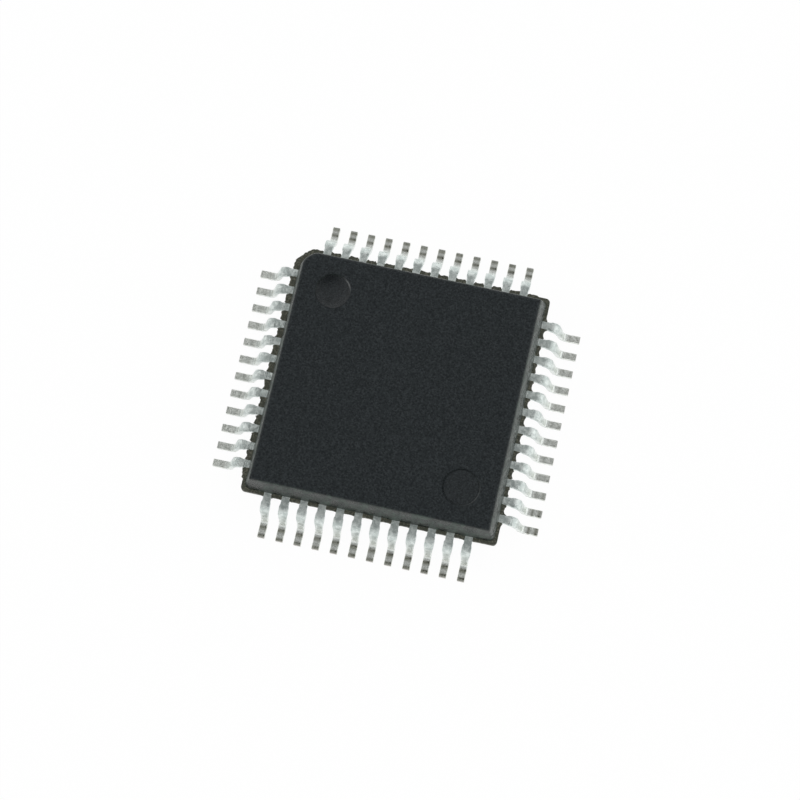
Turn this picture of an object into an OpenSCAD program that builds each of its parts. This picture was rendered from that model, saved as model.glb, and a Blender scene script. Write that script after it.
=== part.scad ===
// Quad flat package with 48 gull-wing leads, for soldering flat on a circuit board.
// Millimetres, +Z up. The origin is under the middle of the package, on the plane that its feet
// stand on. Terminal 1 is beside the bevelled corner (-X, +Y), and the terminals count anticlockwise
// seen from above: down the left side, along the front, up the right side and back along the rear.

/* [Moulded body] */
// Width of the body below its parting plane
body_w = 7.0; // [6.9:0.05:7.1]
// Thickness of the body
body_t = 1.35; // [1.3:0.01:1.45]
// Gap between the body and the plane that the feet stand on
stand_off = 0.1; // [0.05:0.01:0.15]
// Slope of the side walls from upright, in degrees
draft = 14; // [8:1:15]
// How far the upper half is set in from the lower half, on each side
mould_step = 0.085; // [0.04:0.005:0.1]
// Leg of the bevel on terminal 1's corner, below the parting plane
bevel = 0.35; // [0.28:0.01:0.45]
// Radius of the other three corners, below the parting plane
corner_r = 0.12; // [0.06:0.01:0.2]

/* [Moulded marks] */
// Distance of both round marks from the body's middle, along X and along Y
mark_at = 2.28; // [2.1:0.01:2.4]
// Width of terminal 1's dish
dish_d = 0.95; // [0.8:0.01:1.1]
// Depth of the dish's upright wall
dish_wall = 0.03; // [0.01:0.005:0.05]
// Depth of the dish's hollow floor below that wall
dish_hollow = 0.05; // [0.02:0.005:0.08]
// Width of the flat mark in the opposite corner
spot_d = 0.97; // [0.8:0.01:1.1]
// Depth of the flat mark
spot_depth = 0.015; // [0.01:0.005:0.04]

/* [Resin webs between the leads] */
// Least reach of the webs beyond the body's width, on each side
web_reach = 0.005; // [0:0.005:0.03]
// Most that the webs' torn edges stand out beyond that
web_rough = 0.035; // [0.01:0.005:0.05]
// Extra reach of the webs where they cling to a lead
web_cling = 0.03; // [0:0.005:0.05]

/* [Leads] */
// Distance between the tips of opposite leads
tip_span = 9.0; // [8.9:0.05:9.1]
// Distance between the middles of neighbouring leads
pitch = 0.5; // [0.48:0.01:0.5]
// Thickness of the lead frame's metal
metal_t = 0.127; // [0.1:0.001:0.15]
// Width of a lead's foot
foot_w = 0.2; // [0.17:0.01:0.22]
// Width of a lead where it leaves the body
exit_w = 0.22; // [0.2:0.01:0.25]
// Width of a lead over the stubs of its cut dam bar
stub_w = 0.26; // [0.25:0.005:0.3]
// Inner radius of both bends
bend_r = 0.14; // [0.1:0.01:0.17]
// Slope of the lead's descent from upright, in degrees
lean = 15; // [8:1:18]
// Length of the foot's flat
foot_flat = 0.33; // [0.28:0.01:0.38]

/* [Inside the body] */
// Distance from the middle to the leads' inner ends
finger_r = 2.45; // [2.4:0.05:2.6]
// How much closer together the inner ends are than the outer ends
fan = 0.72; // [0.7:0.01:0.8]
// Width of the die pad
pad_w = 4.2; // [3.8:0.1:4.4]
// How far the pad is pressed down below the leads
down_set = 0.2; // [0.15:0.01:0.25]
// Width of the pad's tie bars
tie_w = 0.15; // [0.1:0.01:0.18]
// Width of the die
die_w = 2.8; // [2.4:0.1:3]
// Thickness of the die
die_t = 0.28; // [0.2:0.01:0.3]
// Thickness of the adhesive under the die
glue_t = 0.02; // [0.01:0.005:0.03]
// Diameter of the bond wires
wire_d = 0.025; // [0.02:0.005:0.03]

/* [Hidden] */
$fn = 48;
PER_SIDE = 12;
SIDES = ["left", "front", "right", "back"];
LEADS = 4 * PER_SIDE;

// The lead frame's sheet lies half way up the body, and its two faces part the mould's halves.
sheet_z = stand_off + body_t / 2 - metal_t / 2;
sheet_top = sheet_z + metal_t;
body_top = stand_off + body_t;
lower_half = body_w / 2;
bevel_cut = (2 * lower_half - bevel) / sqrt(2);
upper_half = lower_half - mould_step;

// Side view of a lead, from its tip back to where its shoulder starts to bend.
turn = 90 - lean;
mid_r = bend_r + metal_t / 2;
tip_x = tip_span / 2;
foot_x = tip_x - foot_flat;
descent = (sheet_z - 2 * mid_r * (1 - cos(turn))) / sin(turn);
shoulder_x = round(1e4 * (foot_x - 2 * mid_r * sin(turn) - descent * cos(turn))) / 1e4;

// Plan of a lead: it fans inwards from fan_x, and the dam bar's stubs lie on the upper bend.
fan_x = 3.2;
stub_x = shoulder_x + 0.01;
stub_len = 0.17;
stub_rise = 0.03;
stub_fall = 0.08;

// Heights of the stack on the die pad.
pad_z = sheet_z - down_set;
glue_z = pad_z + metal_t;
die_z = glue_z + glue_t;
die_top = die_z + die_t;

// Bond wires: they leave the die on a ball and slope down to a stitch on the lead.
bond_r = die_w / 2 - 0.1;
bond_fan = 0.4;
stitch_r = finger_r + 0.1;
ball_d = 0.07;
ball_t = 0.015;
wire_bend = 0.08;
wire_slope = 14;

mould_black = "#2b2e31";
tin = "#b9bcbe";
copper = "#b87333";
silver_glue = "#9a9a92";
silicon = "#5b5f6b";
gold = "#d4af37";

function lead_name(k) = str("lead_", k < 10 ? "0" : "", k);

// The direction in which the leads of a side point: left, front, right, back.
function side_turn(side) = 180 + 90 * side;
function lateral(i) = (i - (PER_SIDE - 1) / 2) * pitch;

// Sideways place of a lead's middle at distance r from the package's middle, in its fanned part.
function fanned(i, r) = lateral(i) * (1 - (1 - fan) * (fan_x - r) / (fan_x - finger_r));
function turned(p, a) = [p.x * cos(a) - p.y * sin(a), p.x * sin(a) + p.y * cos(a)];

// ---- Leads ------------------------------------------------------------------------------------

// The strip that a lead is cut from, pointing along +X: the level stretch, the upper bend, the
// descent, the lower bend and the foot. Each stretch is drawn in the frame of the one before it.
module bent_strip(w) {
    spare = 0.2;
    rotate([90, 0, 0]) translate([0, 0, -w / 2]) {
        translate([finger_r - spare, sheet_z, 0]) cube([shoulder_x - finger_r + spare, metal_t, w]);
        translate([shoulder_x, sheet_z - bend_r, 0]) rotate(lean) {
            bend(w);
            translate([bend_r, -descent, 0]) {
                cube([metal_t, descent, w]);
                translate([metal_t + bend_r, 0, 0]) rotate(180) {
                    bend(w);
                    rotate(turn) translate([bend_r, 0, 0]) cube([metal_t, foot_flat + spare, w]);
                }
            }
        }
    }
}

module bend(w) {
    rotate_extrude(angle = turn) translate([bend_r, 0]) square([metal_t, w]);
}

// Plan of a lead: the finger inside the body, the exit, the stubs on the upper bend, and the foot.
function lead_half_plan(i) = [
    [finger_r, fanned(i, finger_r), exit_w / 2],
    [fan_x, lateral(i), exit_w / 2],
    [stub_x - stub_rise, lateral(i), exit_w / 2],
    [stub_x, lateral(i), stub_w / 2],
    [stub_x + stub_len, lateral(i), stub_w / 2],
    [stub_x + stub_len + stub_fall, lateral(i), foot_w / 2],
    [tip_x, lateral(i), foot_w / 2]
];

module lead_plan(i) {
    half = lead_half_plan(i);
    polygon(concat(
        [for (p = half) [p.x, p.y - p.z]],
        [for (n = [len(half) - 1:-1:0]) [half[n].x, half[n].y + half[n].z]]
    ));
}

module lead(k) {
    side = floor((k - 1) / PER_SIDE);
    i = (k - 1) % PER_SIDE;
    color(tin) rotate(side_turn(side)) intersection() {
        bent_strip(body_w);
        linear_extrude(body_top) lead_plan(i);
    }
}

// The part of every lead that lies in the plane of the sheet, which the resin is moulded around.
module sheet_leads() {
    translate([0, 0, sheet_z]) linear_extrude(metal_t)
        for (side = [0:3], i = [0:PER_SIDE - 1]) rotate(side_turn(side)) intersection() {
            lead_plan(i);
            translate([0, -lower_half]) square([shoulder_x, body_w]);
        }
}

// ---- Die, its pad and the bond wires ------------------------------------------------------------

// Side view of a tie bar along the diagonal: it climbs from the pad to the plane of the sheet.
module tie_bar() {
    pad_end = pad_w / 2 * sqrt(2) - tie_w;
    climb = [pad_end + 0.3, pad_end + 0.3 + down_set];
    out = body_w;
    rotate([90, 0, 0]) linear_extrude(tie_w, center = true) polygon([
        [pad_end, pad_z],
        [climb[0], pad_z],
        [climb[1], sheet_z],
        [out, sheet_z],
        [out, sheet_top],
        [climb[1], sheet_top],
        [climb[0], glue_z],
        [pad_end, glue_z]
    ]);
}

module die_pad() {
    color(copper) {
        translate([-pad_w / 2, -pad_w / 2, pad_z]) cube([pad_w, pad_w, metal_t]);
        intersection() {
            union() for (a = [45:90:315]) rotate(a) tie_bar();
            linear_extrude(body_top) web_plan();
            rotate(135) translate([-body_w, -body_w, 0]) cube([body_w + bevel_cut, 2 * body_w, body_top]);
        }
    }
}

module die_attach() {
    color(silver_glue) translate([-die_w / 2, -die_w / 2, glue_z]) cube([die_w, die_w, glue_t]);
}

module silicon_die() {
    color(silicon) translate([-die_w / 2, -die_w / 2, die_z]) cube([die_w, die_w, die_t]);
}

// One wire: a ball on the die, a short rise, a bend, a straight slope and a stitch on the lead.
module bond_wire(i) {
    start = [bond_r, lateral(i) * bond_fan];
    end = [stitch_r, fanned(i, stitch_r)];
    span = norm(end - start);
    run = span - wire_bend * (1 + sin(wire_slope));
    fall = run * tan(wire_slope);
    rise = sheet_top + wire_d / 2 + fall - wire_bend * cos(wire_slope) - die_top - ball_t;
    translate(start) rotate(atan2(end.y - start.y, end.x - start.x)) {
        translate([0, 0, die_top]) {
            cylinder(h = ball_t, d = ball_d);
            translate([0, 0, ball_t]) {
                cylinder(h = rise, d = wire_d);
                translate([wire_bend, 0, rise]) rotate([90, 0, 0]) rotate(90 - wire_slope) {
                    rotate_extrude(angle = 90 + wire_slope)
                        translate([wire_bend, 0]) circle(d = wire_d);
                    translate([wire_bend, 0, 0]) rotate([90, 0, 0])
                        cylinder(h = run / cos(wire_slope), d = wire_d);
                }
            }
        }
        translate([span, 0, sheet_top]) cylinder(h = wire_d * 0.8, d = ball_d);
    }
}

module bond_wires(side) {
    color(gold) rotate(side_turn(side)) for (i = [0:PER_SIDE - 1]) bond_wire(i);
}

// ---- Moulded body -------------------------------------------------------------------------------

// A square block with sloping walls and a sloping bevel on terminal 1's corner. Half widths and the
// bevel's distance from the middle are given at z0 and at z1.
module sloped_block(z0, z1, half0, half1, cut0, cut1) {
    far = body_w;
    intersection() {
        for_wall() polygon([[-half0, z0], [half0, z0], [half1, z1], [-half1, z1]]);
        rotate(90) for_wall() polygon([[-half0, z0], [half0, z0], [half1, z1], [-half1, z1]]);
        rotate(135) for_wall() polygon([[-far, z0], [cut0, z0], [cut1, z1], [-far, z1]]);
    }
}

module for_wall() {
    rotate([90, 0, 0]) linear_extrude(3 * body_w, center = true) children();
}

module upper_block() {
    rise = body_top - sheet_top;
    inset = rise * tan(draft);
    cut = bevel_cut - mould_step * sqrt(2);
    sloped_block(sheet_top, body_top, upper_half, upper_half - inset, cut, cut - inset);
}

module lower_block() {
    inset = (sheet_z - stand_off) * tan(draft);
    intersection() {
        sloped_block(stand_off, sheet_z, lower_half - inset, lower_half, bevel_cut - inset, bevel_cut);
        linear_extrude(body_top) rounded_square();
    }
}

module rounded_square() {
    inner = body_w - 2 * corner_r;
    square([inner, body_w], center = true);
    square([body_w, inner], center = true);
    for (x = [-1, 1], y = [-1, 1]) translate([x, y] * inner / 2) circle(r = corner_r);
}

// Torn edge of the webs along one side, as distances from the middle. It reaches furthest where it
// clings to a lead, and each point stands out by its own small amount.
WEB_STEPS = 5;
web_torn = rands(0, web_rough, 4 * LEADS * WEB_STEPS, 48);
function web_edge(side) = [
    for (gap = [0:PER_SIDE], n = [0:WEB_STEPS - 1])
        let (
            f = n / (WEB_STEPS - 1),
            from = gap == 0 ? -lower_half + bevel : lateral(gap - 1) + exit_w / 2,
            to = gap == PER_SIDE ? lower_half - bevel : lateral(gap) - exit_w / 2,
            cling = gap == 0 ? f * f : gap == PER_SIDE ? (1 - f) * (1 - f) : pow(2 * f - 1, 2),
            torn = web_torn[(side * (PER_SIDE + 1) + gap) * WEB_STEPS + n]
        )
        [lower_half + web_reach + web_cling * cling + torn, from + f * (to - from)]
];

// Points round the corner that follows a side: an arc, or terminal 1's bevel with its torn gate.
CORNER_STEPS = 4;
function web_corner(side) = side == 3
    ? [
        for (n = [1:CORNER_STEPS])
            let (f = n / (CORNER_STEPS + 1), torn = 0.02 + web_torn[n] * 1.4)
            [lower_half - bevel * f + torn, lower_half - bevel * (1 - f) + torn]
    ]
    : [
        for (n = [0:CORNER_STEPS])
            let (a = 90 * n / CORNER_STEPS, c = lower_half - corner_r)
            [c + corner_r * cos(a), c + corner_r * sin(a)]
    ];

module web_plan() {
    polygon([
        for (side = [0:3])
            for (p = concat(web_edge(side), web_corner(side))) turned(p, side_turn(side))
    ]);
}

module package_body() {
    color(mould_black) difference() {
        union() {
            upper_block();
            translate([0, 0, sheet_z]) linear_extrude(metal_t) web_plan();
            lower_block();
        }
        sheet_leads();
        die_pad();
        die_attach();
        silicon_die();
        for (side = [0:3]) bond_wires(side);
        dish();
        translate([mark_at, -mark_at, body_top - spot_depth]) cylinder(h = 1, d = spot_d);
    }
}

// Terminal 1's mark: a short upright wall round a hollow floor.
module dish() {
    floor_r = (pow(dish_d / 2, 2) + pow(dish_hollow, 2)) / (2 * dish_hollow);
    wall_z = body_top - dish_wall;
    translate([-mark_at, mark_at, 0]) {
        translate([0, 0, wall_z]) cylinder(h = 1, d = dish_d);
        intersection() {
            translate([0, 0, wall_z - dish_hollow + floor_r]) sphere(r = floor_r);
            translate([0, 0, wall_z - dish_hollow]) cylinder(h = dish_hollow, d = 2 * dish_d);
        }
    }
}

package_body();
for (k = [1:LEADS]) lead(k);
die_pad();
die_attach();
silicon_die();
for (s = [0:3]) bond_wires(s);
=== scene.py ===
"""Quad flat package with 48 gull-wing leads: its skins, finishes, light and camera.

Metres, +Z up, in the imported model's frame: the feet stand on Z = 0 and the body's middle is over the
origin. Terminal 1 is beside the bevelled corner (-X, +Y), and the terminals count anticlockwise.
"""

import math

import bpy
import numpy as np
from mathutils import Matrix, Vector


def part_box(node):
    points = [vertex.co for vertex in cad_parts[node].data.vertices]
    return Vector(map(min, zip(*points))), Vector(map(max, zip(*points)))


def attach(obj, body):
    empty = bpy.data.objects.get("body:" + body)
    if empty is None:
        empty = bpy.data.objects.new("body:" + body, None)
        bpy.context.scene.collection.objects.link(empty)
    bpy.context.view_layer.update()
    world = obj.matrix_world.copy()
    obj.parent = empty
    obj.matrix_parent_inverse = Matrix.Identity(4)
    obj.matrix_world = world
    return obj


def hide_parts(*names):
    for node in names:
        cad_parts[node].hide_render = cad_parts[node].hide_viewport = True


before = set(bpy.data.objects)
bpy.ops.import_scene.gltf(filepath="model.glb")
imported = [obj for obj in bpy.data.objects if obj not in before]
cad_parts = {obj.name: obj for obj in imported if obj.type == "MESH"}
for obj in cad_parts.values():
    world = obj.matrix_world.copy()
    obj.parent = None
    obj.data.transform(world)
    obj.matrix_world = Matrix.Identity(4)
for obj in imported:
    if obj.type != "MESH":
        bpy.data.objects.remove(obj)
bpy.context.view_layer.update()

MM = 0.001
PER_SIDE = 12
LEADS = 4 * PER_SIDE

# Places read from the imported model. Terminals 31 and 32 are the middle ones on the right side.
BODY_LOW, BODY_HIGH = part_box("package_body")
BODY_UNDER, BODY_TOP = BODY_LOW.z, BODY_HIGH.z
RIGHT_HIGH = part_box("lead_31")[1]
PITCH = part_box("lead_32")[1].y - RIGHT_HIGH.y
SHEET_TOP = RIGHT_HIGH.z
TIP = RIGHT_HIGH.x
FINGER_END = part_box("lead_31")[0].x

# Sizes of the lead frame's metal. A stub is what is left of the dam bar; its steps are measured
# outwards from its inner end: where the lead starts to widen, the two ends of the stub's own width,
# and where the lead is as wide as its foot. Inside FAN_FROM the fingers close up by the share FAN.
METAL = 0.127 * MM
SHEET_UNDER = SHEET_TOP - METAL
LEAD_EDGE = 0.016 * MM
EXIT_WIDTH = 0.22 * MM
STUB_WIDTH = 2 * (RIGHT_HIGH.y - PITCH / 2)
STUB_STEPS = np.array([-0.03, 0.0, 0.17, 0.25]) * MM
FOOT_WIDTH = 0.2 * MM
FOOT = 0.33 * MM
BEND = 0.14 * MM
LEAN = math.radians(15)
FAN = 0.72
FAN_FROM = 3.2 * MM

# What differs between the rows of leads, at the left, front, right and back: the two bands that the
# forming tool rubbed smooth across a foot and that carry a painted dark reflection (middle and width
# of the first, middle of the last, strength), how bumpy the plating stayed, and how much painted
# highlight lies over the bends.
FOOT_BANDS = (
    (0.2, 0.1, 0.8, 0.15),
    (0.13, 0.2, 0.85, 1.0),
    (0.2, 0.1, 0.8, 0.15),
    (0.28, 0.15, 0.79, 0.9),
)
BUMPY = (1.5, 0.5, 0.5, 0.3)
PAINTED_BEND_HIGHLIGHT = (0.9, 1.0, 0.9, 0.7)
RIGHT_ROW = 2

# Sizes of the moulded body. The soft shares say how far the two ends of the bevel are rounded, above
# and below the sheet's plane.
LOWER_HALF = 3.5 * MM
UPPER_HALF = LOWER_HALF - 0.085 * MM
DRAFT = math.radians(14)
BEVEL = 0.35 * MM
CORNER = 0.12 * MM
EDGE_ROUND = 0.1 * MM
EDGE_TURN = math.pi / 2 - DRAFT
UPPER_SOFT = 0.2
LOWER_SOFT = 0.06

# The round marks pressed into the top: the dish near terminal 1, and the faint spot opposite it.
MARK_AT = 2.28 * MM
DISH_RADIUS = 0.475 * MM
DISH_WALL = 0.025 * MM
DISH_HOLLOW = 0.06 * MM
SPOT_RADIUS = 0.485 * MM
SPOT_WALL = 0.014 * MM

# The resin webs between the leads, at the front, right, back and left: their least reach beyond the
# lower half, how far they are drawn out along a lead's sides, and how deeply they are torn.
WEBS = np.array([(0.0, 0.03, 0.018), (0.0, 0.1, 0.014), (0.038, 0.03, 0.03), (0.056, 0.06, 0.03)]) * MM
RIGHT_WALL = 1

# The webs' torn edge from top to bottom: how far down the metal's thickness, and what share of the
# reach is left there.
WEB_EDGE = ((0.0, 0.8), (0.12, 1.0), (0.35, 0.85), (0.6, 0.95), (0.85, 0.7), (1.0, 0.3))


# ---- Shapes --------------------------------------------------------------------------------------


def ease(x):
    """0 below 0 and 1 above 1, with the curve 3x^2 - 2x^3 between."""
    x = np.clip(x, 0.0, 1.0)
    return x * x * (3.0 - 2.0 * x)


def near(x, middle, width):
    """1 at the middle, falling away on both sides as exp(-((x - middle) / width)^2)."""
    return np.exp(-(((x - middle) / width) ** 2))


def wander(u, v, seed):
    """Smooth noise from -1 to 1: seeded random heights on whole-number places, eased between. The
    heights come round again after 512 places."""
    size = 512
    heights = np.random.default_rng(seed).uniform(-1.0, 1.0, (size, size))
    u, v = np.broadcast_arrays(np.asarray(u, float), np.asarray(v, float))
    iu, iv = np.floor(u).astype(int), np.floor(v).astype(int)
    fu, fv = ease(u - iu), ease(v - iv)
    iu, iv, next_u, next_v = iu % size, iv % size, (iu + 1) % size, (iv + 1) % size
    low = heights[iu, iv] * (1 - fu) + heights[next_u, iv] * fu
    high = heights[iu, next_v] * (1 - fu) + heights[next_u, next_v] * fu
    return low * (1 - fv) + high * fv


def make_mesh(name, points, faces, marks, sharp=32.0):
    """A mesh object from an N x 3 array of points and lists of face arrays, with named point values.
    Edges that turn by more than sharp, in degrees, stay sharp."""
    mesh = bpy.data.meshes.new(name)
    corners = np.concatenate([f.ravel() for f in faces])
    sizes = np.concatenate([np.full(len(f), f.shape[1]) for f in faces])
    mesh.vertices.add(len(points))
    mesh.vertices.foreach_set("co", np.asarray(points, np.float32).ravel())
    mesh.loops.add(len(corners))
    mesh.loops.foreach_set("vertex_index", corners.astype(np.int32))
    mesh.polygons.add(len(sizes))
    starts = np.concatenate([[0], np.cumsum(sizes)[:-1]])
    mesh.polygons.foreach_set("loop_start", starts.astype(np.int32))
    mesh.update(calc_edges=True)
    mesh.validate()
    for key, values in marks.items():
        layer = mesh.attributes.new(key, "FLOAT", "POINT")
        layer.data.foreach_set("value", np.asarray(values, np.float32))
    mesh.shade_smooth()
    mesh.set_sharp_from_angle(angle=math.radians(sharp))
    made = bpy.data.objects.new(name, mesh)
    bpy.context.scene.collection.objects.link(made)
    return made


def band(upper, lower):
    """Four-sided faces between two closed rings of vertex numbers, facing away from their middle."""
    return np.stack([upper, lower, np.roll(lower, -1), np.roll(upper, -1)], axis=1)


def fan_to(ring, pole):
    """Triangles that close a ring onto one point."""
    return np.stack([ring, np.full(len(ring), pole), np.roll(ring, -1)], axis=1)


# ---- The moulded body ----------------------------------------------------------------------------


def top_lines(half):
    """Where the top's grid lines lie, from -half to half: close together near the round marks' rims
    and in the corners, and even in between."""
    inside = np.linspace(0.05, 0.41, 8) * MM
    rim = np.array([0.44, 0.458, 0.468, 0.472, 0.478, 0.482, 0.488, 0.5, 0.525]) * MM
    outside = np.array([0.57, 0.63]) * MM
    clear = 0.67 * MM
    rings = np.concatenate([inside, rim, outside])
    by_mark = np.concatenate([-rings, [0.0], rings]) + MARK_AT
    corner = np.linspace(MARK_AT + clear, half, 17)
    middle = np.linspace(0.0, MARK_AT - clear, 38)
    right = np.concatenate([middle[1:], by_mark, corner])
    return np.sort(np.concatenate([-right, [0.0], right]))


def squares_to_circles(x, y, cx, cy):
    """Squares of grid lines round a mark's middle become circles: each point is drawn in along its
    own ray by (half side / distance), in full up to 0.56 mm and fading over the next 0.34 mm."""
    full, fade = 0.56 * MM, 0.34 * MM
    dx, dy = x - cx, y - cy
    side = np.maximum(abs(dx), abs(dy))
    far = np.hypot(dx, dy)
    pull = np.divide(side, far, out=np.ones_like(far), where=far > 0)
    amount = 1.0 - ease((side - full) / fade)
    k = 1.0 + (pull - 1.0) * amount
    return cx + dx * k, cy + dy * k


def trim_corners(x, y, half, leg, radius, soft):
    """Draws in the corners of a square: a bevel of that leg at (-X, +Y) and arcs at the others. In
    each corner block a point slides along its ray from the block's inner end, eased from nothing
    there to the full amount at the rim. Soft is how far the bevel's own two ends are rounded: where
    a ray's stop t lies that close to 1, it is drawn in by soft / 4 times (1 - |t - 1| / soft)^2."""
    block = 0.5 * MM
    a = np.clip((abs(x) - (half - block)) / block, 0.0, None)
    b = np.clip((abs(y) - (half - block)) / block, 0.0, None)
    inside = (a > 0) & (b > 0)
    ratio = np.where(inside, np.maximum(a, b), 1.0)
    qa, qb = a / ratio, b / ratio
    to_bevel = (2.0 - leg / block) / np.maximum(qa + qb, 1e-9)
    blend = np.clip(1.0 - abs(to_bevel - 1.0) / soft, 0.0, 1.0)
    to_bevel = np.minimum(1.0, to_bevel) - 0.25 * soft * blend * blend
    c = 1.0 - radius / block
    dot, square = (qa + qb) * c, np.maximum(qa * qa + qb * qb, 1e-9)
    root = np.sqrt(np.maximum(dot * dot - square * (2 * c * c - (1 - c) ** 2), 0.0))
    to_arc = np.where((qa > c) & (qb > c), (dot + root) / square, 1.0)
    limit = np.where((x < 0) & (y > 0), to_bevel, to_arc)
    keep = np.where(inside, 1.0 + (np.minimum(limit, 1.0) - 1.0) * ease(ratio), 1.0)
    new_x = np.where(inside, np.sign(x) * (half - block + block * a * keep), x)
    new_y = np.where(inside, np.sign(y) * (half - block + block * b * keep), y)
    return new_x, new_y


def bevel_leg(drawn_in):
    """The bevel's leg where the walls have drawn in by that much. The bevel's own face draws in by
    as much, so the leg loses (2 - sqrt(2)) of it."""
    return BEVEL - drawn_in * (2 - math.sqrt(2))


def pressed_mark(x, y, cx, cy, radius, wall, hollow, slope=3e-6):
    """Depth of a round mark: a steep wall at its rim, as wide as slope on either side, then a floor
    hollowed as 1 - (r / R)^2."""
    r = np.hypot(x - cx, y - cy)
    inside = np.clip((radius + slope - r) / (2 * slope), 0.0, 1.0)
    return inside * wall + hollow * np.clip(1.0 - (r / radius) ** 2, 0.0, 1.0)


def mark_finish(x, y):
    """What the two marks change in the top's resin. Pressed is 1 in the dish and 0.3 in the spot.
    Line is painted shade: the dish's rim, the spot's rim times 1 + 0.7 cos(angle), a small dark spot
    inside the dish, and a crescent inside the dish's upper left. The third value is a painted
    highlight where the two rims catch light. All but pressed fall away as near() does."""
    from_dish, from_spot = np.hypot(x + MARK_AT, y - MARK_AT), np.hypot(x - MARK_AT, y + MARK_AT)
    round_dish = np.arctan2(y - MARK_AT, x + MARK_AT)
    round_spot = np.arctan2(y + MARK_AT, x - MARK_AT)
    pressed = np.maximum(from_dish < DISH_RADIUS, 0.3 * (from_spot < SPOT_RADIUS))

    # Painted shade: the dark rims, the spot's rim darker towards its left, a small dark spot inside the
    # dish and a crescent in the dish's upper left.
    shaded = 1.0 + 0.7 * np.cos(round_spot - math.radians(165))
    line = 0.56 * near(from_dish, DISH_RADIUS, 0.015 * MM)
    line = line + 0.7 * shaded * near(from_spot, SPOT_RADIUS, 0.02 * MM)
    from_painted_dark_spot = np.hypot(x + MARK_AT + 0.05 * MM, y - MARK_AT + 0.26 * MM)
    line = np.maximum(line, 0.9 * near(from_painted_dark_spot, 0.0, 0.07 * MM))
    crescent = near(round_dish, math.radians(118), 0.75) * near(from_dish, 0.86 * DISH_RADIUS, 0.13 * MM)
    line = np.where(from_dish < DISH_RADIUS, np.maximum(line, 1.1 * crescent), line)

    # Painted highlight: a bright arc on the dish's rim and a fainter one just outside the spot's rim.
    painted_glint = near(from_dish, DISH_RADIUS, 0.014 * MM) * near(round_dish, math.radians(36), 0.36)
    spot_lip = near(from_spot, SPOT_RADIUS + 0.018 * MM, 0.012 * MM)
    painted_glint += 0.3 * spot_lip * near(round_spot, math.radians(-25), 0.8)
    return {"pressed": pressed, "line": line, "painted_glint": painted_glint}


def round_the_square(n):
    """Numbers of an n x n grid's rim points in a ring, anticlockwise from above."""
    grid = np.arange(n * n).reshape(n, n)
    return np.concatenate([grid[0, :-1], grid[:-1, -1], grid[-1, :0:-1], grid[:0:-1, 0]])


def web_reach(along, least, cling, tear, seed):
    """How far a web's torn edge stands out beyond the lower half at each place along a side. It is
    drawn out along the leads' sides as 1 - sqrt(1 - t^2), with t from 0 halfway between two leads to
    1 at a lead, and torn by two sizes of noise. Under a lead it stays within the metal."""
    nearest = np.clip(np.round(along / PITCH - 0.5) + 0.5, 0.5 - PER_SIDE / 2, PER_SIDE / 2 - 0.5)
    half_gap = PITCH / 2 - EXIT_WIDTH / 2
    t = 1.0 - (abs(along - nearest * PITCH) - EXIT_WIDTH / 2) / half_gap
    torn = 0.5 + 0.5 * wander(along / (0.06 * MM) + 200, 0.0, seed)
    tufts = 0.5 + 0.5 * wander(along / (0.17 * MM) + 200, 0.0, seed + 40)
    drawn = cling * (1.0 - np.sqrt(1.0 - np.clip(t, 0.0, 0.98) ** 2))
    reach = least + drawn + tear * torn * (0.3 + 0.7 * tufts)
    return np.where(t > 1.0, -0.004 * MM, reach)


class Rings:
    """The rings that follow one another down the body from the top's rim, and how torn each one is.
    Each has as many points as the rim, and runs along the front, the right, the back and the left."""

    def __init__(self, lines):
        """Works out, in shares of the half width, the spacing that the top's lines give a ring and
        one that is even along the sides and close together near the corners."""
        close = np.linspace(0.93, 1.0, 15)
        between = np.linspace(-0.93, 0.93, len(lines) - 2 * len(close) + 2)[1:-1]
        even = np.concatenate([-close[::-1], between, close])
        top = lines / lines[-1]
        self.rim = round_the_square(len(lines))
        self.top_u, self.top_v = (g.ravel()[self.rim] for g in np.meshgrid(top, top))
        self.even_u, self.even_v = (g.ravel()[self.rim] for g in np.meshgrid(even, even))
        self.side = np.repeat(np.arange(4), len(lines) - 1)
        ways = [self.even_u, self.even_v, -self.even_u, -self.even_v]
        self.along = np.select([self.side == s for s in range(4)], ways)
        self.points, self.torn = [], []

    def noise(self, size, v, seed):
        """Smooth noise round a ring, with lumps of about that size."""
        round_way = self.side * 2 * LOWER_HALF + self.along * LOWER_HALF
        return wander(round_way / size + 60, v, seed)

    def keep(self, points, torn=0.0):
        self.points.append(points)
        self.torn.append(np.full(len(points), torn))

    def add(self, half, z, leg, radius, slide=1.0, push=0.0, torn=0.0):
        """A square ring with trimmed corners, its points slid from the top's spacing to the even one,
        and pushed away from the nearest point of the square inside its corners."""
        u = (self.top_u + (self.even_u - self.top_u) * slide) * half
        v = (self.top_v + (self.even_v - self.top_v) * slide) * half
        soft = LOWER_SOFT if half > UPPER_HALF else UPPER_SOFT
        x, y = trim_corners(u, v, half, leg, radius, soft)
        core = half - np.where((x < 0) & (y > 0), leg, radius)
        away = np.stack([x - np.clip(x, -core, core), y - np.clip(y, -core, core)], axis=-1)
        away /= np.maximum(np.linalg.norm(away, axis=-1, keepdims=True), 1e-12)
        out = np.stack([x, y], axis=-1) + away * np.reshape(push, (-1, 1))
        height = np.broadcast_to(np.reshape(z, (-1, 1)), (len(out), 1))
        self.keep(np.concatenate([out, height], axis=-1), torn)


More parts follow.
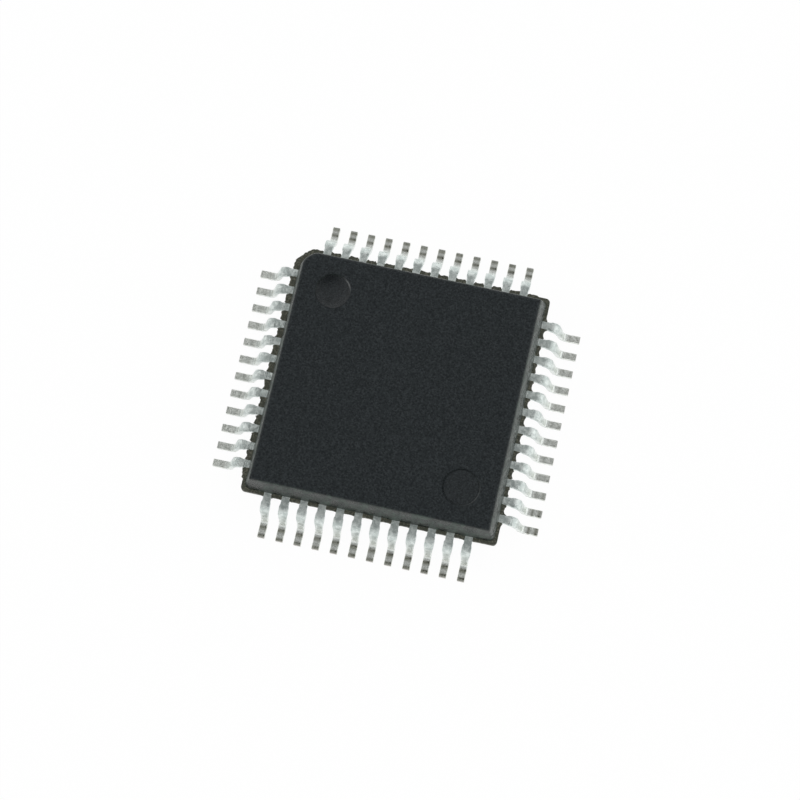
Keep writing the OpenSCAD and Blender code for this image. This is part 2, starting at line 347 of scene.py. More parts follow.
def add_upper_wall(rings, face):
    """The top edge, rounded as a circular arc, then the upper wall with the slight lumps of a
    moulded face, which fade as a half sine wave towards both its ends."""
    for k in range(1, 6):
        phi = EDGE_TURN * k / 5
        half = face + EDGE_ROUND * math.sin(phi)
        z = BODY_TOP - EDGE_ROUND * (1 - math.cos(phi))
        rings.add(half, z, bevel_leg(UPPER_HALF - half), 0.05 * MM, slide=k / 10)
    wall_half, wall_top = half, z
    for k in range(1, 11):
        t = k / 10
        half = wall_half + (UPPER_HALF - wall_half) * t
        z = wall_top + (SHEET_TOP - wall_top) * t
        lumps = rings.noise(0.5 * MM, t * 2, seed=3) * math.sin(math.pi * t)
        fine = rings.noise(0.13 * MM, t * 5, seed=4) * math.sin(math.pi * t)
        push = (0.0035 * lumps + 0.0015 * fine) * MM
        rings.add(half, z, bevel_leg(UPPER_HALF - half), (0.06 + 0.1 * t) * MM, 0.5 + t / 2, push)


def add_webs(rings):
    """The ledge and the torn edge of the webs, level with the metal but just inside its faces. The
    resin has sunk a little between the leads and stands a little proud in the corners."""
    reach = np.choose(rings.side, [web_reach(rings.along * LOWER_HALF, *WEBS[s], 11 + s) for s in range(4)])
    in_corner = abs(rings.along) * LOWER_HALF > 3.15 * MM
    at_bevel = (rings.even_u < -0.88) & (rings.even_v > 0.88)
    lump = 0.5 + 0.5 * rings.noise(0.12 * MM, 0.0, seed=21)
    reach = np.where(in_corner, 0.004 * MM * lump, reach)
    reach = np.where(at_bevel, (0.032 + 0.022 * lump) * MM, reach)
    between = ease(reach / (0.03 * MM))
    sink = (0.004 + 0.016 * between * (0.5 + 0.5 * rings.noise(0.06 * MM, 0.5, seed=31))) * MM
    sink = np.where(in_corner, -0.006 * MM, sink)

    middle = (UPPER_HALF + LOWER_HALF) / 2
    rings.add(UPPER_HALF, SHEET_TOP - np.minimum(sink, 0.004 * MM), BEVEL, 0.16 * MM, torn=1.0)
    rings.add(middle, SHEET_TOP - sink * 0.8, BEVEL, 0.15 * MM, torn=1.0)
    rings.add(LOWER_HALF, SHEET_TOP - sink, BEVEL, CORNER, push=reach * 0.35, torn=1.0)
    under = SHEET_UNDER + 0.004 * MM
    for k, (down, share) in enumerate(WEB_EDGE):
        ragged = 1.0 + 0.3 * rings.noise(0.04 * MM, k * 0.7, seed=51)
        z = SHEET_TOP - sink + (under - SHEET_TOP + sink) * down
        rings.add(LOWER_HALF, z, BEVEL, CORNER, push=reach * share * ragged, torn=1.0)
    rings.add(LOWER_HALF, SHEET_UNDER + 0.003 * MM, BEVEL, CORNER, torn=0.6)


def add_lower_wall(rings):
    """The lower wall with its lumps, its rounded edge and the flat underside's shrinking rings."""
    under_half = LOWER_HALF - (SHEET_UNDER - BODY_UNDER) * math.tan(DRAFT)
    face = under_half - EDGE_ROUND * math.tan(EDGE_TURN / 2)
    for t in np.linspace(0.08, 0.94, 7):
        half = LOWER_HALF + (under_half - LOWER_HALF) * t
        z = SHEET_UNDER + (BODY_UNDER - SHEET_UNDER) * t
        push = 0.003 * MM * rings.noise(0.4 * MM, t * 2, seed=5) * math.sin(math.pi * t)
        rings.add(half, z, bevel_leg(LOWER_HALF - half), 0.09 * MM, push=push)
    for k in range(4, -1, -1):
        phi = EDGE_TURN * k / 5
        half = face + EDGE_ROUND * math.sin(phi)
        z = BODY_UNDER + EDGE_ROUND * (1 - math.cos(phi))
        rings.add(half, z, bevel_leg(LOWER_HALF - half), 0.06 * MM)
    outermost = rings.points[-1]
    for share in (0.9, 0.6, 0.3):
        rings.keep(outermost * [share, share, 1.0])


def moulded_body():
    """One closed skin: the top's grid with its two round marks, then rings down the rounded edge,
    the upper wall, the ledge of torn webs in the sheet's plane, the lower wall and the underside,
    which closes on one point. Its point values say where the resin is torn, where painted light
    lies on the right-hand walls and what the two marks change."""
    inset = (BODY_TOP - SHEET_TOP) * math.tan(DRAFT)
    face = UPPER_HALF - inset - EDGE_ROUND * math.tan(EDGE_TURN / 2)
    lines = top_lines(face)
    x, y = np.meshgrid(lines, lines)
    x, y = squares_to_circles(x, y, -MARK_AT, MARK_AT)
    x, y = squares_to_circles(x, y, MARK_AT, -MARK_AT)
    x, y = trim_corners(x, y, face, bevel_leg(inset), 0.05 * MM, UPPER_SOFT)
    depth = pressed_mark(x, y, -MARK_AT, MARK_AT, DISH_RADIUS, DISH_WALL, DISH_HOLLOW)
    depth += pressed_mark(x, y, MARK_AT, -MARK_AT, SPOT_RADIUS, SPOT_WALL, 0.0)
    top = np.stack([x, y, BODY_TOP - depth], axis=-1).reshape(-1, 3)

    rings = Rings(lines)
    add_upper_wall(rings, face)
    add_webs(rings)
    add_lower_wall(rings)

    n, count, levels = len(lines), len(rings.rim), len(rings.points)
    below = len(top) + np.arange(levels * count).reshape(levels, count)
    numbers = [rings.rim, *below]
    pole = len(top) + levels * count
    points = np.concatenate([top, *rings.points, [[0.0, 0.0, BODY_UNDER]]])
    grid = np.arange(n * n).reshape(n, n)
    cells = np.stack([grid[:-1, :-1], grid[:-1, 1:], grid[1:, 1:], grid[1:, :-1]], axis=-1)
    faces = [cells.reshape(-1, 4)] + [band(a, b) for a, b in zip(numbers[:-1], numbers[1:])]
    faces.append(fan_to(numbers[-1], pole))

    flat, not_top = np.zeros(len(top)), np.zeros(len(points) - len(top))
    torn = np.concatenate([flat, *rings.torn, [0.0]])
    # The right-hand walls carry painted light.
    on_right = np.concatenate([flat, np.tile(rings.side == RIGHT_WALL, levels), [0.0]])
    marks = {"torn": torn, "painted_right_light": on_right * (1.0 - torn)}
    for key, values in mark_finish(x, y).items():
        marks[key] = np.concatenate([values.ravel(), not_top])
    return make_mesh("moulded_body", points, faces, marks)


# ---- The leads -----------------------------------------------------------------------------------


def gull_path(foot_places, curl, wave):
    """Middle line of a lead: it runs level, turns down through the upper bend, descends, turns level
    through the lower bend and runs out along the foot. The heading is a function of the distance
    travelled, and the places are its running sum, each step a chord of its own arc. The foot then
    rises by a small wave and curl. Gives the distances, how far out and how high they are, where the
    stretches end, and where the upper bend starts."""
    mid_bend = BEND + METAL / 2
    turn = math.pi / 2 - LEAN
    mid_z = SHEET_TOP - METAL / 2
    descent = (mid_z - METAL / 2 - 2 * mid_bend * (1 - math.cos(turn))) / math.sin(turn)
    heel = TIP - FOOT
    shoulder = heel - 2 * mid_bend * math.sin(turn) - descent * math.cos(turn)
    level = shoulder - FINGER_END
    arc = mid_bend * turn
    knots = np.cumsum([0.0, level, arc, descent, arc, FOOT])
    s = np.concatenate([
        np.array([0.0, 0.3, 0.6]) * level,
        np.linspace(0.76, 1.0, 9) * level,
        knots[1] + arc * np.linspace(0.0, 1.0, 13)[1:],
        knots[2] + descent * np.linspace(0.0, 1.0, 7)[1:],
        knots[3] + arc * np.linspace(0.0, 1.0, 27)[1:],
        knots[4] + FOOT * np.linspace(0.0, 1.0, foot_places)[1:],
    ])
    heading = np.interp(s, knots, [0.0, 0.0, turn, turn, 0.0, 0.0])
    step, mean, bent = np.diff(s), (heading[1:] + heading[:-1]) / 2, np.diff(heading) / 2
    chord = step * np.divide(np.sin(bent), bent, out=np.ones_like(bent), where=abs(bent) > 1e-9)
    r = FINGER_END + np.concatenate([[0.0], np.cumsum(chord * np.cos(mean))])
    z = mid_z - np.concatenate([[0.0], np.cumsum(chord * np.sin(mean))])
    f = np.clip((r - heel) / FOOT, 0.0, 1.0)
    z = z + curl * f * f + wave * np.sin(math.pi * f) ** 2 * ease((s - knots[3]) / (knots[4] - knots[3]))
    return s, r, z, knots, shoulder


def rounded_section(radius):
    """Round a rectangle's outline: shares of its core's half width and half thickness, and the
    corner arcs' offsets, anticlockwise seen from the tip."""
    quarter = np.radians(np.linspace(8.0, 82.0, 4))
    core, arcs = [], []
    for sx, sy, turn in [(1, 1, 0), (-1, 1, 90), (-1, -1, 180), (1, -1, 270)]:
        phi = quarter + math.radians(turn)
        core += [(sx, sy)] * 4
        arcs += list(zip(np.cos(phi), np.sin(phi)))
        if turn in (0, 180):
            core += [(sx * share, sy) for share in (0.5, 0.0, -0.5)]
            arcs += [(0.0, math.copysign(1.0, sy))] * 3
        else:
            core += [(sx, 0.0)]
            arcs += [(math.copysign(1.0, sx), 0.0)]
    return np.array(core, float), np.array(arcs, float) * radius


def foot_press(q, own):
    """How far the forming tool pressed a lead's upper face down, in metres: a shallow groove where
    the foot starts and another before its end. q is 0 where the foot starts and 1 at the tip."""
    shift = 0.05 * (own.random(2) - 0.5)
    return (0.006 * near(q, 0.18 + shift[0], 0.13) + 0.004 * near(q, 0.86 + shift[1], 0.1)) * MM


def burnish(q, side, i, own):
    """How much the forming tool rubbed a lead's upper face smooth, from 0 to 1, which is also where a
    dark reflection is painted on. q is 0 where the foot starts, 1 at the tip and -1 where the lower
    bend starts. There is a band at each end of the foot, strong on the front and back rows and on
    the right-hand row's first few leads, and two fine lines in the lower bend of every lead."""
    first, width, last, strength = FOOT_BANDS[side]
    shift = 0.06 * (own.random(3) - 0.5)
    strength = strength * (0.85 + 0.3 * own.random())
    if side == RIGHT_ROW:
        strength = max(strength, 0.9 * near(i, 0.0, 2.2))
    bands = near(q, first + shift[0], width) + near(q, last + shift[1], 0.15)
    lines = near(q, -0.75 + shift[2], 0.09) + 0.8 * near(q, -0.28 + shift[0], 0.06)
    return np.clip(strength * bands + 0.45 * lines, 0.0, 1.0)


def gull_lead(k):
    """Terminal k: a rounded strip carried along its bent path, its width following the exit, the
    stubs of the dam bar and the foot, with small seeded differences from its neighbours. It is made
    along +X and turned to its own side. Its point values say where it is rubbed smooth and painted
    with a dark reflection, how bumpy it is, where a painted highlight lies, what is foot, and what is cut."""
    own = np.random.default_rng(700 + k)
    side, i = divmod(k - 1, PER_SIDE)
    lateral = (i - (PER_SIDE - 1) / 2) * PITCH
    curl = (0.002 + 0.006 * own.random()) * MM
    wave = (0.002 + 0.003 * own.random()) * MM
    s, r, z, knots, shoulder = gull_path(44, curl, wave)

    stub = shoulder + 0.01 * MM
    places = [FAN_FROM, *(stub + STUB_STEPS), TIP]
    widths = [EXIT_WIDTH, EXIT_WIDTH, STUB_WIDTH, STUB_WIDTH, FOOT_WIDTH, FOOT_WIDTH]
    width = np.interp(r, places, widths) * (1 - 0.02 * own.random())
    shift = lateral * (1 - (1 - FAN) * np.clip((FAN_FROM - r) / (FAN_FROM - FINGER_END), 0.0, 1.0))
    shift = shift + 0.004 * MM * (own.random() - 0.5) * ease((r - stub) / (TIP - stub))

    dr, dz = np.gradient(r, s), np.gradient(z, s)
    size = np.hypot(dr, dz)
    normal_r, normal_z = -dz / size, dr / size
    core, arcs = rounded_section(LEAD_EDGE)
    sideways = core[:, 0] * (width[:, None] / 2 - LEAD_EDGE) + arcs[:, 0]
    thick = core[:, 1] * (METAL / 2 - LEAD_EDGE) + arcs[:, 1]
    q = np.interp(s, knots[[1, 3, 4, 5]], [-3.0, -1.0, 0.0, 1.0])
    thick = thick - foot_press(q, own)[:, None] * (core[:, 1] > 0.5)
    out = r[:, None] + normal_r[:, None] * thick
    up = z[:, None] + normal_z[:, None] * thick
    across = shift[:, None] + sideways
    strip = np.stack([out, across, up], axis=-1)
    strip[-1] += (strip[-1].mean(0) - strip[-1]) * 0.06
    strip[:, :, 0] = np.minimum(strip[:, :, 0], TIP)

    count, n = across.shape
    points = np.concatenate([strip.reshape(-1, 3), [strip[0].mean(0)], [strip[-1].mean(0)]])
    turn = math.radians(180 + 90 * side)
    turned = np.stack([
        points[:, 0] * math.cos(turn) - points[:, 1] * math.sin(turn),
        points[:, 0] * math.sin(turn) + points[:, 1] * math.cos(turn),
        np.maximum(points[:, 2], 0.0),
    ], axis=-1)
    numbers = np.arange(count * n).reshape(count, n)
    faces = [band(b, a) for a, b in zip(numbers[:-1], numbers[1:])]
    faces += [fan_to(numbers[0], count * n), fan_to(numbers[-1], count * n + 1)[:, ::-1]]

    def round_strip(values, at_cut=0.0):
        """A value for each place along the lead, given to all points round it, then one for the
        middle of the buried end and one for the middle of the cut end."""
        return np.concatenate([np.repeat(values, n), [0.0, at_cut]])

    # The bands' value also carries a painted dark reflection, and the bends' value a painted highlight.
    marks = {
        "burnish_and_painted_reflection": round_strip(burnish(q, side, i, own), at_cut=0.5),
        "rough": np.full(len(turned), BUMPY[side]),
        "painted_highlight": round_strip(PAINTED_BEND_HIGHLIGHT[side] * near(q, -0.9, 0.95)),
        "foot": round_strip(ease(q * 3 + 1), at_cut=1.0),
        "cut": round_strip(np.arange(count) == count - 1, at_cut=1.0),
    }
    return make_mesh(f"gull_lead_{k:02d}", turned, faces, marks, sharp=40.0)


# ---- Finishes ------------------------------------------------------------------------------------


class Board:
    """A node tree with short ways to add nodes and links."""

    def __init__(self, tree):
        self.tree = tree

    def add(self, kind, values=None, **settings):
        made = self.tree.nodes.new(kind)
        for key, value in settings.items():
            setattr(made, key, value)
        for key, value in (values or {}).items():
            self.feed(made.inputs[key], value)
        return made

    def feed(self, socket, value):
        if isinstance(value, bpy.types.NodeSocket):
            self.tree.links.new(value, socket)
        else:
            socket.default_value = value

    def math(self, what, a, b=0.0, clamp=False):
        node = self.add("ShaderNodeMath", operation=what, use_clamp=clamp)
        self.feed(node.inputs[0], a)
        self.feed(node.inputs[1], b)
        return node.outputs[0]

    def times(self, a, b):
        return self.math("MULTIPLY", a, b)

    def plus(self, a, b, clamp=False):
        return self.math("ADD", a, b, clamp)

    def less(self, a, b):
        return self.math("SUBTRACT", a, b)

    def mix(self, amount, a, b):
        node = self.add("ShaderNodeMix", data_type="RGBA", blend_type="MIX", clamp_factor=True)
        self.feed(node.inputs["Factor"], amount)
        self.feed(node.inputs["A"], a)
        self.feed(node.inputs["B"], b)
        return node.outputs["Result"]

    def spread(self, value, low, high, to_low=0.0, to_high=1.0):
        """Maps low..high onto to_low..to_high with eased ends."""
        node = self.add("ShaderNodeMapRange", interpolation_type="SMOOTHSTEP")
        keys = ("Value", "From Min", "From Max", "To Min", "To Max")
        for key, number in zip(keys, (value, low, high, to_low, to_high)):
            self.feed(node.inputs[key], number)
        return node.outputs["Result"]

    def mark(self, name):
        """A value that the mesh's points carry."""
        return self.add("ShaderNodeAttribute", attribute_name=name).outputs["Fac"]

    def height_of(self, vector):
        return self.add("ShaderNodeSeparateXYZ", {"Vector": vector}).outputs["Z"]

    def noise(self, place, scale, **more):
        return self.add("ShaderNodeTexNoise", {"Vector": place, "Scale": scale, **more}).outputs["Fac"]

    def bump(self, height, strength, distance):
        values = {"Height": height, "Strength": strength, "Distance": distance}
        return self.add("ShaderNodeBump", values).outputs[0]

    def use(self, tree, **values):
        """Places a shared group with its own values; underscores in the names stand for spaces."""
        node = self.add("ShaderNodeGroup", node_tree=tree)
        for key, value in values.items():
            self.feed(node.inputs[key.replace("_", " ")], value)
        return node.outputs


def rgb(r, g, b):
    return (r, g, b, 1.0)


def new_group(name, inputs, outputs):
    """A shader node group with named sockets: (name, kind, default) in, and (name, kind) out."""
    tree = bpy.data.node_groups.new(name, "ShaderNodeTree")
    for key, kind, default in inputs:
        socket = tree.interface.new_socket(key, in_out="INPUT", socket_type="NodeSocket" + kind)
        if default is not None:
            socket.default_value = default
    for key, kind in outputs:
        tree.interface.new_socket(key, in_out="OUTPUT", socket_type="NodeSocket" + kind)
    board = Board(tree)
    return board, board.add("NodeGroupInput").outputs, board.add("NodeGroupOutput").inputs


def build_grain():
    """Fine grain: small noise and a pitted cell pattern, put out as a height and as a speck mask."""
    board, given, out = new_group(
        "fine grain",
        [("Place", "Vector", None), ("Grains a mm", "Float", 30.0), ("Speck share", "Float", 0.3)],
        [("Height", "Float"), ("Specks", "Float")],
    )
    place, scale = given["Place"], board.times(given["Grains a mm"], 1000.0)
    fine = board.noise(place, scale, Detail=4.0, Roughness=0.6)
    cells = board.add("ShaderNodeTexVoronoi", {"Vector": place, "Scale": board.times(scale, 0.55)})
    board.feed(out["Height"], board.plus(fine, board.times(cells.outputs["Distance"], 0.5)))
    wide = board.noise(place, board.times(scale, 0.8), Detail=2.0)
    edge = board.less(0.82, board.times(given["Speck share"], 0.4))
    board.feed(out["Specks"], board.spread(wide, edge, board.plus(edge, 0.1)))
    return board.tree


def build_mottle():
    """Cloudy patches: two sizes of noise added together and pushed apart by the contrast."""
    board, given, out = new_group(
        "cloudy patches",
        [("Place", "Vector", None), ("Patches a mm", "Float", 2.0), ("Contrast", "Float", 1.0)],
        [("Mask", "Float")],
    )
    place, scale = given["Place"], board.times(given["Patches a mm"], 1000.0)
    big = board.noise(place, scale, Detail=3.0, Roughness=0.55)
    small = board.noise(place, board.times(scale, 4.3), Detail=4.0)
    both = board.plus(board.times(big, 0.65), board.times(small, 0.35))
    pushed = board.times(board.less(both, 0.5), board.times(given["Contrast"], 4.0))
    board.feed(out["Mask"], board.plus(pushed, 0.5, clamp=True))
    return board.tree


GRAIN = build_grain()
MOTTLE = build_mottle()


def new_finish(name):
    """A material with a Principled shader: its board, the shader's inputs and the object's places."""
    material = bpy.data.materials.new(name)
    material.use_nodes = True
    material.node_tree.nodes.clear()
    board = Board(material.node_tree)
    shader = board.add("ShaderNodeBsdfPrincipled")
    output = board.add("ShaderNodeOutputMaterial")
    board.feed(output.inputs["Surface"], shader.outputs[0])
    place = board.add("ShaderNodeTexCoord").outputs["Object"]
    return material, board, shader.inputs, place


# Tones of the resin: the top in and on its grain, its specks of filler and its pressed marks, the
# walls with their painted light on the right-hand side and their dark blotches, the marks' painted
# shade and painted highlight, and the torn webs with their specks.
TOP_DEEP, TOP_GREY = rgb(0.001, 0.005, 0.007), rgb(0.018, 0.025, 0.028)
TOP_SPECK, TOP_PRESSED = rgb(0.03, 0.038, 0.042), rgb(0.002, 0.005, 0.007)
WALL_DARK, WALL_LIGHT = rgb(0.0, 0.006, 0.002), rgb(0.05, 0.08, 0.062)
WALL_PAINTED_LIGHT, WALL_BLOTCH = rgb(0.17, 0.194, 0.182), rgb(0.004, 0.01, 0.007)
MARK_PAINTED_SHADE, MARK_PAINTED_GLINT = rgb(0.001, 0.002, 0.003), rgb(0.3, 0.31, 0.31)
WEB_DARK, WEB_LIGHT, WEB_SPECK = rgb(0.03, 0.036, 0.024), rgb(0.118, 0.125, 0.098), rgb(0.2, 0.198, 0.155)


def moulding_resin():
    """Black filled epoxy. The top is matt with a sparkling grain, which is shallower and shinier in
    the pressed marks, with painted shade along their lines and a painted highlight on their rims. The
    moulded walls are smoother and blotchy, with painted light low down on the right-hand side. The webs
    are olive brown and dull where they were torn."""
    material, board, shader, place = new_finish("moulding resin")
    carried = ("torn", "pressed", "line", "painted_right_light", "painted_glint")
    torn, pressed, line, painted_right_light, painted_glint = (board.mark(name) for name in carried)
    grain = board.use(GRAIN, Place=place, Grains_a_mm=28.0, Speck_share=0.75)
    clouds = board.use(MOTTLE, Place=place, Patches_a_mm=2.4, Contrast=2.2)["Mask"]
    blotches = board.use(MOTTLE, Place=place, Patches_a_mm=9.0, Contrast=2.4)["Mask"]
    level = board.math("ABSOLUTE", board.height_of(board.add("ShaderNodeNewGeometry").outputs["Normal"]))
    upright = board.spread(level, 0.88, 0.45)
    wall = board.spread(board.less(level, board.times(grain["Height"], 0.2)), 0.8, 0.3)
    high = board.height_of(place)

    flat = board.mix(board.spread(grain["Height"], 0.5, 0.95), TOP_DEEP, TOP_GREY)
    flat = board.mix(grain["Specks"], flat, TOP_SPECK)
    flat = board.mix(board.times(pressed, 0.4), flat, TOP_PRESSED)
    side = board.mix(clouds, WALL_DARK, WALL_LIGHT)
    # Painted light: the right-hand walls are painted paler, most of all low down.
    pale = board.times(painted_right_light, board.spread(high, 1.2 * MM, 1.42 * MM, 0.8, 0.1))
    side = board.mix(pale, side, WALL_PAINTED_LIGHT)
    side = board.mix(board.times(blotches, 0.85), side, WALL_BLOTCH)
    colour = board.mix(wall, flat, side)
    # Painted shade along the marks' lines.
    colour = board.mix(board.times(line, 0.5), colour, MARK_PAINTED_SHADE)
    # Painted highlight on the marks' rims.
    colour = board.mix(board.times(painted_glint, 0.8), colour, MARK_PAINTED_GLINT)
    broken = board.mix(grain["Height"], WEB_DARK, WEB_LIGHT)
    broken = board.mix(grain["Specks"], broken, WEB_SPECK)
    board.feed(shader["Base Color"], board.mix(torn, colour, broken))

    shader["IOR"].default_value = 1.6
    on_walls = board.times(board.spread(high, 1.25 * MM, 1.43 * MM, 0.54, 0.3), upright)
    shine = board.times(board.plus(0.26, on_walls), board.less(1.0, board.times(line, 0.6)))
    board.feed(shader["Specular IOR Level"], board.plus(shine, board.times(pressed, 0.2)))
    matt = board.plus(0.44, board.times(grain["Height"], 0.12))
    matt = board.less(matt, board.times(pressed, 0.36))
    moulded = board.plus(0.26, board.times(clouds, 0.26))
    values = {"Factor": wall, "A": matt, "B": moulded}
    rough = board.add("ShaderNodeMix", values, data_type="FLOAT").outputs[0]
    board.feed(shader["Roughness"], board.plus(rough, board.times(torn, 0.3), clamp=True))
    height = board.times(grain["Height"], board.less(1.0, board.times(pressed, 0.4)))
    board.feed(shader["Normal"], board.bump(height, 0.8, 0.018 * MM))
    return material


# Tones of the leads: the plating's patches, the foot, the painted highlight over the bends, the
# foot's dull speckle, the painted dark reflection on the rubbed bands and the cut end.
TIN_DARK, TIN_LIGHT = rgb(0.56, 0.625, 0.605), rgb(0.825, 0.885, 0.86)
TIN_FOOT, TIN_PAINTED_HIGHLIGHT, TIN_DULL = rgb(0.96, 0.985, 0.94), rgb(0.975, 1.0, 0.97), rgb(0.57, 0.595, 0.55)
PAINTED_REFLECTION_DEEP, PAINTED_REFLECTION_PALE = rgb(0.26, 0.27, 0.215), rgb(0.485, 0.5, 0.43)
CUT_METAL = rgb(0.3, 0.27, 0.22)


def tinned_lead():
    """Matt tin over copper alloy: cloudy patches, a pale foot with a dull speckle, a painted highlight
    over the bends, smooth bands where the forming tool rubbed it with a painted dark reflection on
    them, and a darker cut end. The plating is bumpy by row, except on those bands."""
    material, board, shader, place = new_finish("tinned lead")
    patches = board.use(MOTTLE, Place=place, Patches_a_mm=8.0, Contrast=1.9)["Mask"]
    speckle = board.use(MOTTLE, Place=place, Patches_a_mm=15.0, Contrast=2.2)["Mask"]
    grain = board.use(GRAIN, Place=place, Grains_a_mm=22.0, Speck_share=0.3)
    burnish_and_painted_reflection, foot = board.mark("burnish_and_painted_reflection"), board.mark("foot")
    colour = board.mix(patches, TIN_DARK, TIN_LIGHT)
    colour = board.mix(board.times(foot, 0.85), colour, TIN_FOOT)
    # Painted highlight over the bends, by row.
    colour = board.mix(board.times(board.mark("painted_highlight"), 0.8), colour, TIN_PAINTED_HIGHLIGHT)
    colour = board.mix(board.times(board.times(foot, speckle), 0.65), colour, TIN_DULL)
    # Painted dark reflection on the rubbed bands and the bend's fine lines, which are smoother too.
    colour = board.mix(burnish_and_painted_reflection, colour, board.mix(speckle, PAINTED_REFLECTION_DEEP, PAINTED_REFLECTION_PALE))
    colour = board.mix(board.times(board.mark("cut"), 0.7), colour, CUT_METAL)
    board.feed(shader["Base Color"], colour)
    shader["Metallic"].default_value = 1.0
    matt = board.plus(0.3, board.times(patches, 0.12))
    board.feed(shader["Roughness"], board.less(matt, board.times(burnish_and_painted_reflection, 0.2)))
    bumpy = board.times(board.less(1.0, burnish_and_painted_reflection), board.mark("rough"))
    lumps = board.plus(grain["Height"], board.times(patches, 1.3))
    board.feed(shader["Normal"], board.bump(lumps, bumpy, 0.011 * MM))
    return material


def plain_metal(name, dark, light, roughness):
    """A hidden metal part of one alloy: two close tones in cloudy patches, with a fine grain."""
    material, board, shader, place = new_finish(name)
    patches = board.use(MOTTLE, Place=place, Patches_a_mm=4.0, Contrast=0.8)["Mask"]
    grain = board.use(GRAIN, Place=place, Grains_a_mm=50.0, Speck_share=0.2)
    board.feed(shader["Base Color"], board.mix(patches, dark, light))
    shader["Metallic"].default_value = 1.0
    board.feed(shader["Roughness"], board.plus(roughness, board.times(patches, 0.1)))
    board.feed(shader["Normal"], board.bump(grain["Height"], 0.2, 0.002 * MM))
    return material


def dull_filler(name, dark, light, roughness):
    """A hidden part that isn't metal: two tones in cloudy patches, with a grain."""
    material, board, shader, place = new_finish(name)
    patches = board.use(MOTTLE, Place=place, Patches_a_mm=6.0, Contrast=1.0)["Mask"]
    grain = board.use(GRAIN, Place=place, Grains_a_mm=40.0, Speck_share=0.4)
    board.feed(shader["Base Color"], board.mix(patches, dark, light))
    board.feed(shader["Roughness"], board.plus(roughness, board.times(grain["Specks"], 0.1)))
    board.feed(shader["Normal"], board.bump(grain["Height"], 0.3, 0.003 * MM))
    return material


# ---- The pieces ----------------------------------------------------------------------------------


def dress(piece, material, nodes=()):
    """Gives a piece its finish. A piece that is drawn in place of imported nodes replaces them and
    rides the one body."""
    piece.data.materials.clear()
    piece.data.materials.append(material)
    if nodes:
        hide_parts(*nodes)
        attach(piece, "root")


resin = moulding_resin()
tin = tinned_lead()
body = moulded_body()
dress(body, resin, ["package_body"])
for k in range(1, LEADS + 1):
    lead = gull_lead(k)
    dress(lead, tin, [f"lead_{k:02d}"])

copper = plain_metal("copper alloy", rgb(0.72, 0.4, 0.26), rgb(0.86, 0.52, 0.36), 0.3)
gold = plain_metal("gold wire", rgb(0.9, 0.66, 0.28), rgb(1.0, 0.77, 0.36), 0.2)
glue = dull_filler("silver-filled adhesive", rgb(0.3, 0.3, 0.28), rgb(0.46, 0.46, 0.43), 0.55)
silicon = dull_filler("polished silicon", rgb(0.07, 0.075, 0.09), rgb(0.1, 0.11, 0.13), 0.18)
inner = {"die_pad": copper, "die_attach": glue, "silicon_die": silicon}
inner.update({f"bond_wires_{side}": gold for side in ("left", "front", "right", "back")})
for name, material in inner.items():
    dress(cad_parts[name], material)


# ---- Stage, light and camera ---------------------------------------------------------------------


def pale_floor():
    """A wide flat floor. Seen directly or in a reflection it is mostly its own white, with a share of
    what the lamps give it, so that the shadow stays."""
    half, height = 0.4, -2e-6
    corners = np.array([[-half, -half], [half, -half], [half, half], [-half, half]])
    points = np.column_stack([corners, np.full(4, height)])
    floor = make_mesh("floor", points, [np.array([[0, 1, 2, 3]])], {})
    material = bpy.data.materials.new("pale floor")
    material.use_nodes = True
    material.node_tree.nodes.clear()
    board = Board(material.node_tree)
    lit = board.add("ShaderNodeBsdfDiffuse", {"Color": rgb(0.9, 0.9, 0.9)})
    white = board.add("ShaderNodeEmission", {"Color": rgb(1, 1, 1), "Strength": 1.02})
    rays = board.add("ShaderNodeLightPath").outputs
    mirrored = board.math("MAXIMUM", rays["Is Glossy Ray"], rays["Is Transmission Ray"])
    seen = board.math("MAXIMUM", rays["Is Camera Ray"], mirrored)
    both = board.add("ShaderNodeMixShader")
    board.feed(both.inputs[0], board.times(seen, 0.95))
    board.feed(both.inputs[1], lit.outputs[0])
    board.feed(both.inputs[2], white.outputs[0])
    output = board.add("ShaderNodeOutputMaterial")
    board.feed(output.inputs["Surface"], both.outputs[0])
    floor.data.materials.append(material)


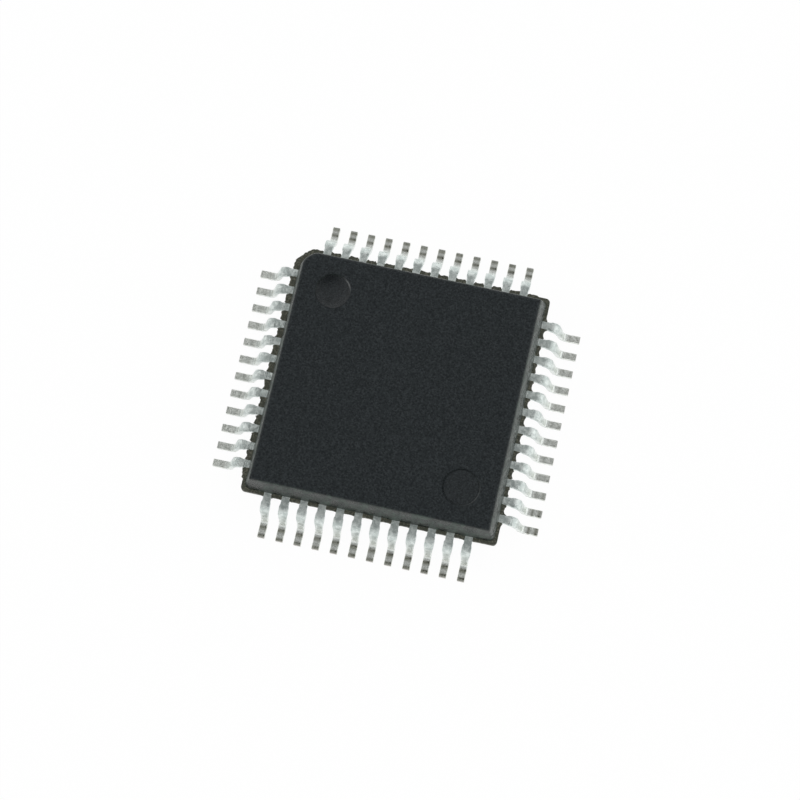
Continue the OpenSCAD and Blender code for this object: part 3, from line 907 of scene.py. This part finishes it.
def soft_world(overhead, level, opening, towards):
    """A pale tent: dimmer overhead than level with the object, with a dark round opening in one
    direction, in full up to 9 degrees from its middle and gone at 17. It is white where the camera
    sees it."""
    world = bpy.data.worlds.new("soft tent")
    world.use_nodes = True
    world.node_tree.nodes.clear()
    board = Board(world.node_tree)
    rays = board.add("ShaderNodeLightPath").outputs
    direction = board.add("ShaderNodeTexCoord").outputs["Generated"]
    tent = board.spread(board.height_of(direction), 0.1, 0.97, level, overhead)
    middle = Vector(towards).normalized()
    apart = board.add("ShaderNodeVectorMath", {0: direction, 1: middle}, operation="DOT_PRODUCT")
    gone, full = math.cos(math.radians(17)), math.cos(math.radians(9))
    dim = board.spread(apart.outputs["Value"], gone, full, 1.0, opening)
    strength = board.math("MAXIMUM", rays["Is Camera Ray"], board.times(tent, dim))
    light = board.add("ShaderNodeBackground", {"Color": rgb(1, 1, 1), "Strength": strength})
    output = board.add("ShaderNodeOutputWorld")
    board.feed(output.inputs["Surface"], light.outputs[0])
    bpy.context.scene.world = world


def soft_box(name, towards, far, width, radiance):
    """A square area lamp that faces the object from a direction, with a given surface brightness."""
    lamp = bpy.data.lights.new(name, "AREA")
    lamp.shape = "SQUARE"
    lamp.size = width
    lamp.energy = radiance * math.pi * width * width
    made = bpy.data.objects.new(name, lamp)
    back = Vector(towards).normalized()
    made.location = back * far
    made.rotation_euler = back.to_track_quat("Z", "Y").to_euler()
    bpy.context.scene.collection.objects.link(made)


def camera(azimuth, elevation, roll, far, target, lens):
    """A camera that looks back at the target from an azimuth (0 looks along +Y) and an elevation,
    turned about its own axis by the roll."""
    a, e, r = (math.radians(v) for v in (azimuth, elevation, roll))
    back = Vector((math.sin(a) * math.cos(e), -math.cos(a) * math.cos(e), math.sin(e)))
    right = Vector((0, 0, 1)).cross(back).normalized()
    up = back.cross(right)
    right, up = math.cos(r) * right + math.sin(r) * up, math.cos(r) * up - math.sin(r) * right
    data = bpy.data.cameras.new("camera")
    data.lens, data.sensor_width = lens, 36.0
    data.clip_start, data.clip_end = 0.002, 5.0
    made = bpy.data.objects.new("camera", data)
    turn = Matrix((right, up, back)).transposed()
    made.matrix_world = Matrix.Translation(Vector(target) + back * far) @ turn.to_4x4()
    bpy.context.scene.collection.objects.link(made)
    bpy.context.scene.camera = made


pale_floor()
soft_world(overhead=0.42, level=0.86, opening=0.1, towards=(0.14, -0.14, 0.97))
soft_box("back softbox", towards=(-0.3, 0.9, 0.45), far=0.25, width=0.14, radiance=0.4)
soft_box("left softbox", towards=(-0.9, 0.3, 0.5), far=0.25, width=0.14, radiance=0.4)
soft_box("right softbox", towards=(1.0, 0.0, 0.4), far=0.25, width=0.2, radiance=0.5)
middle_seen = (0.053 * MM, 0.070 * MM, 0.0)
camera(azimuth=17.88, elevation=74.84, roll=-5.23, far=66.42 * MM, target=middle_seen, lens=109.4)
bpy.context.scene.view_settings.view_transform = "Standard"
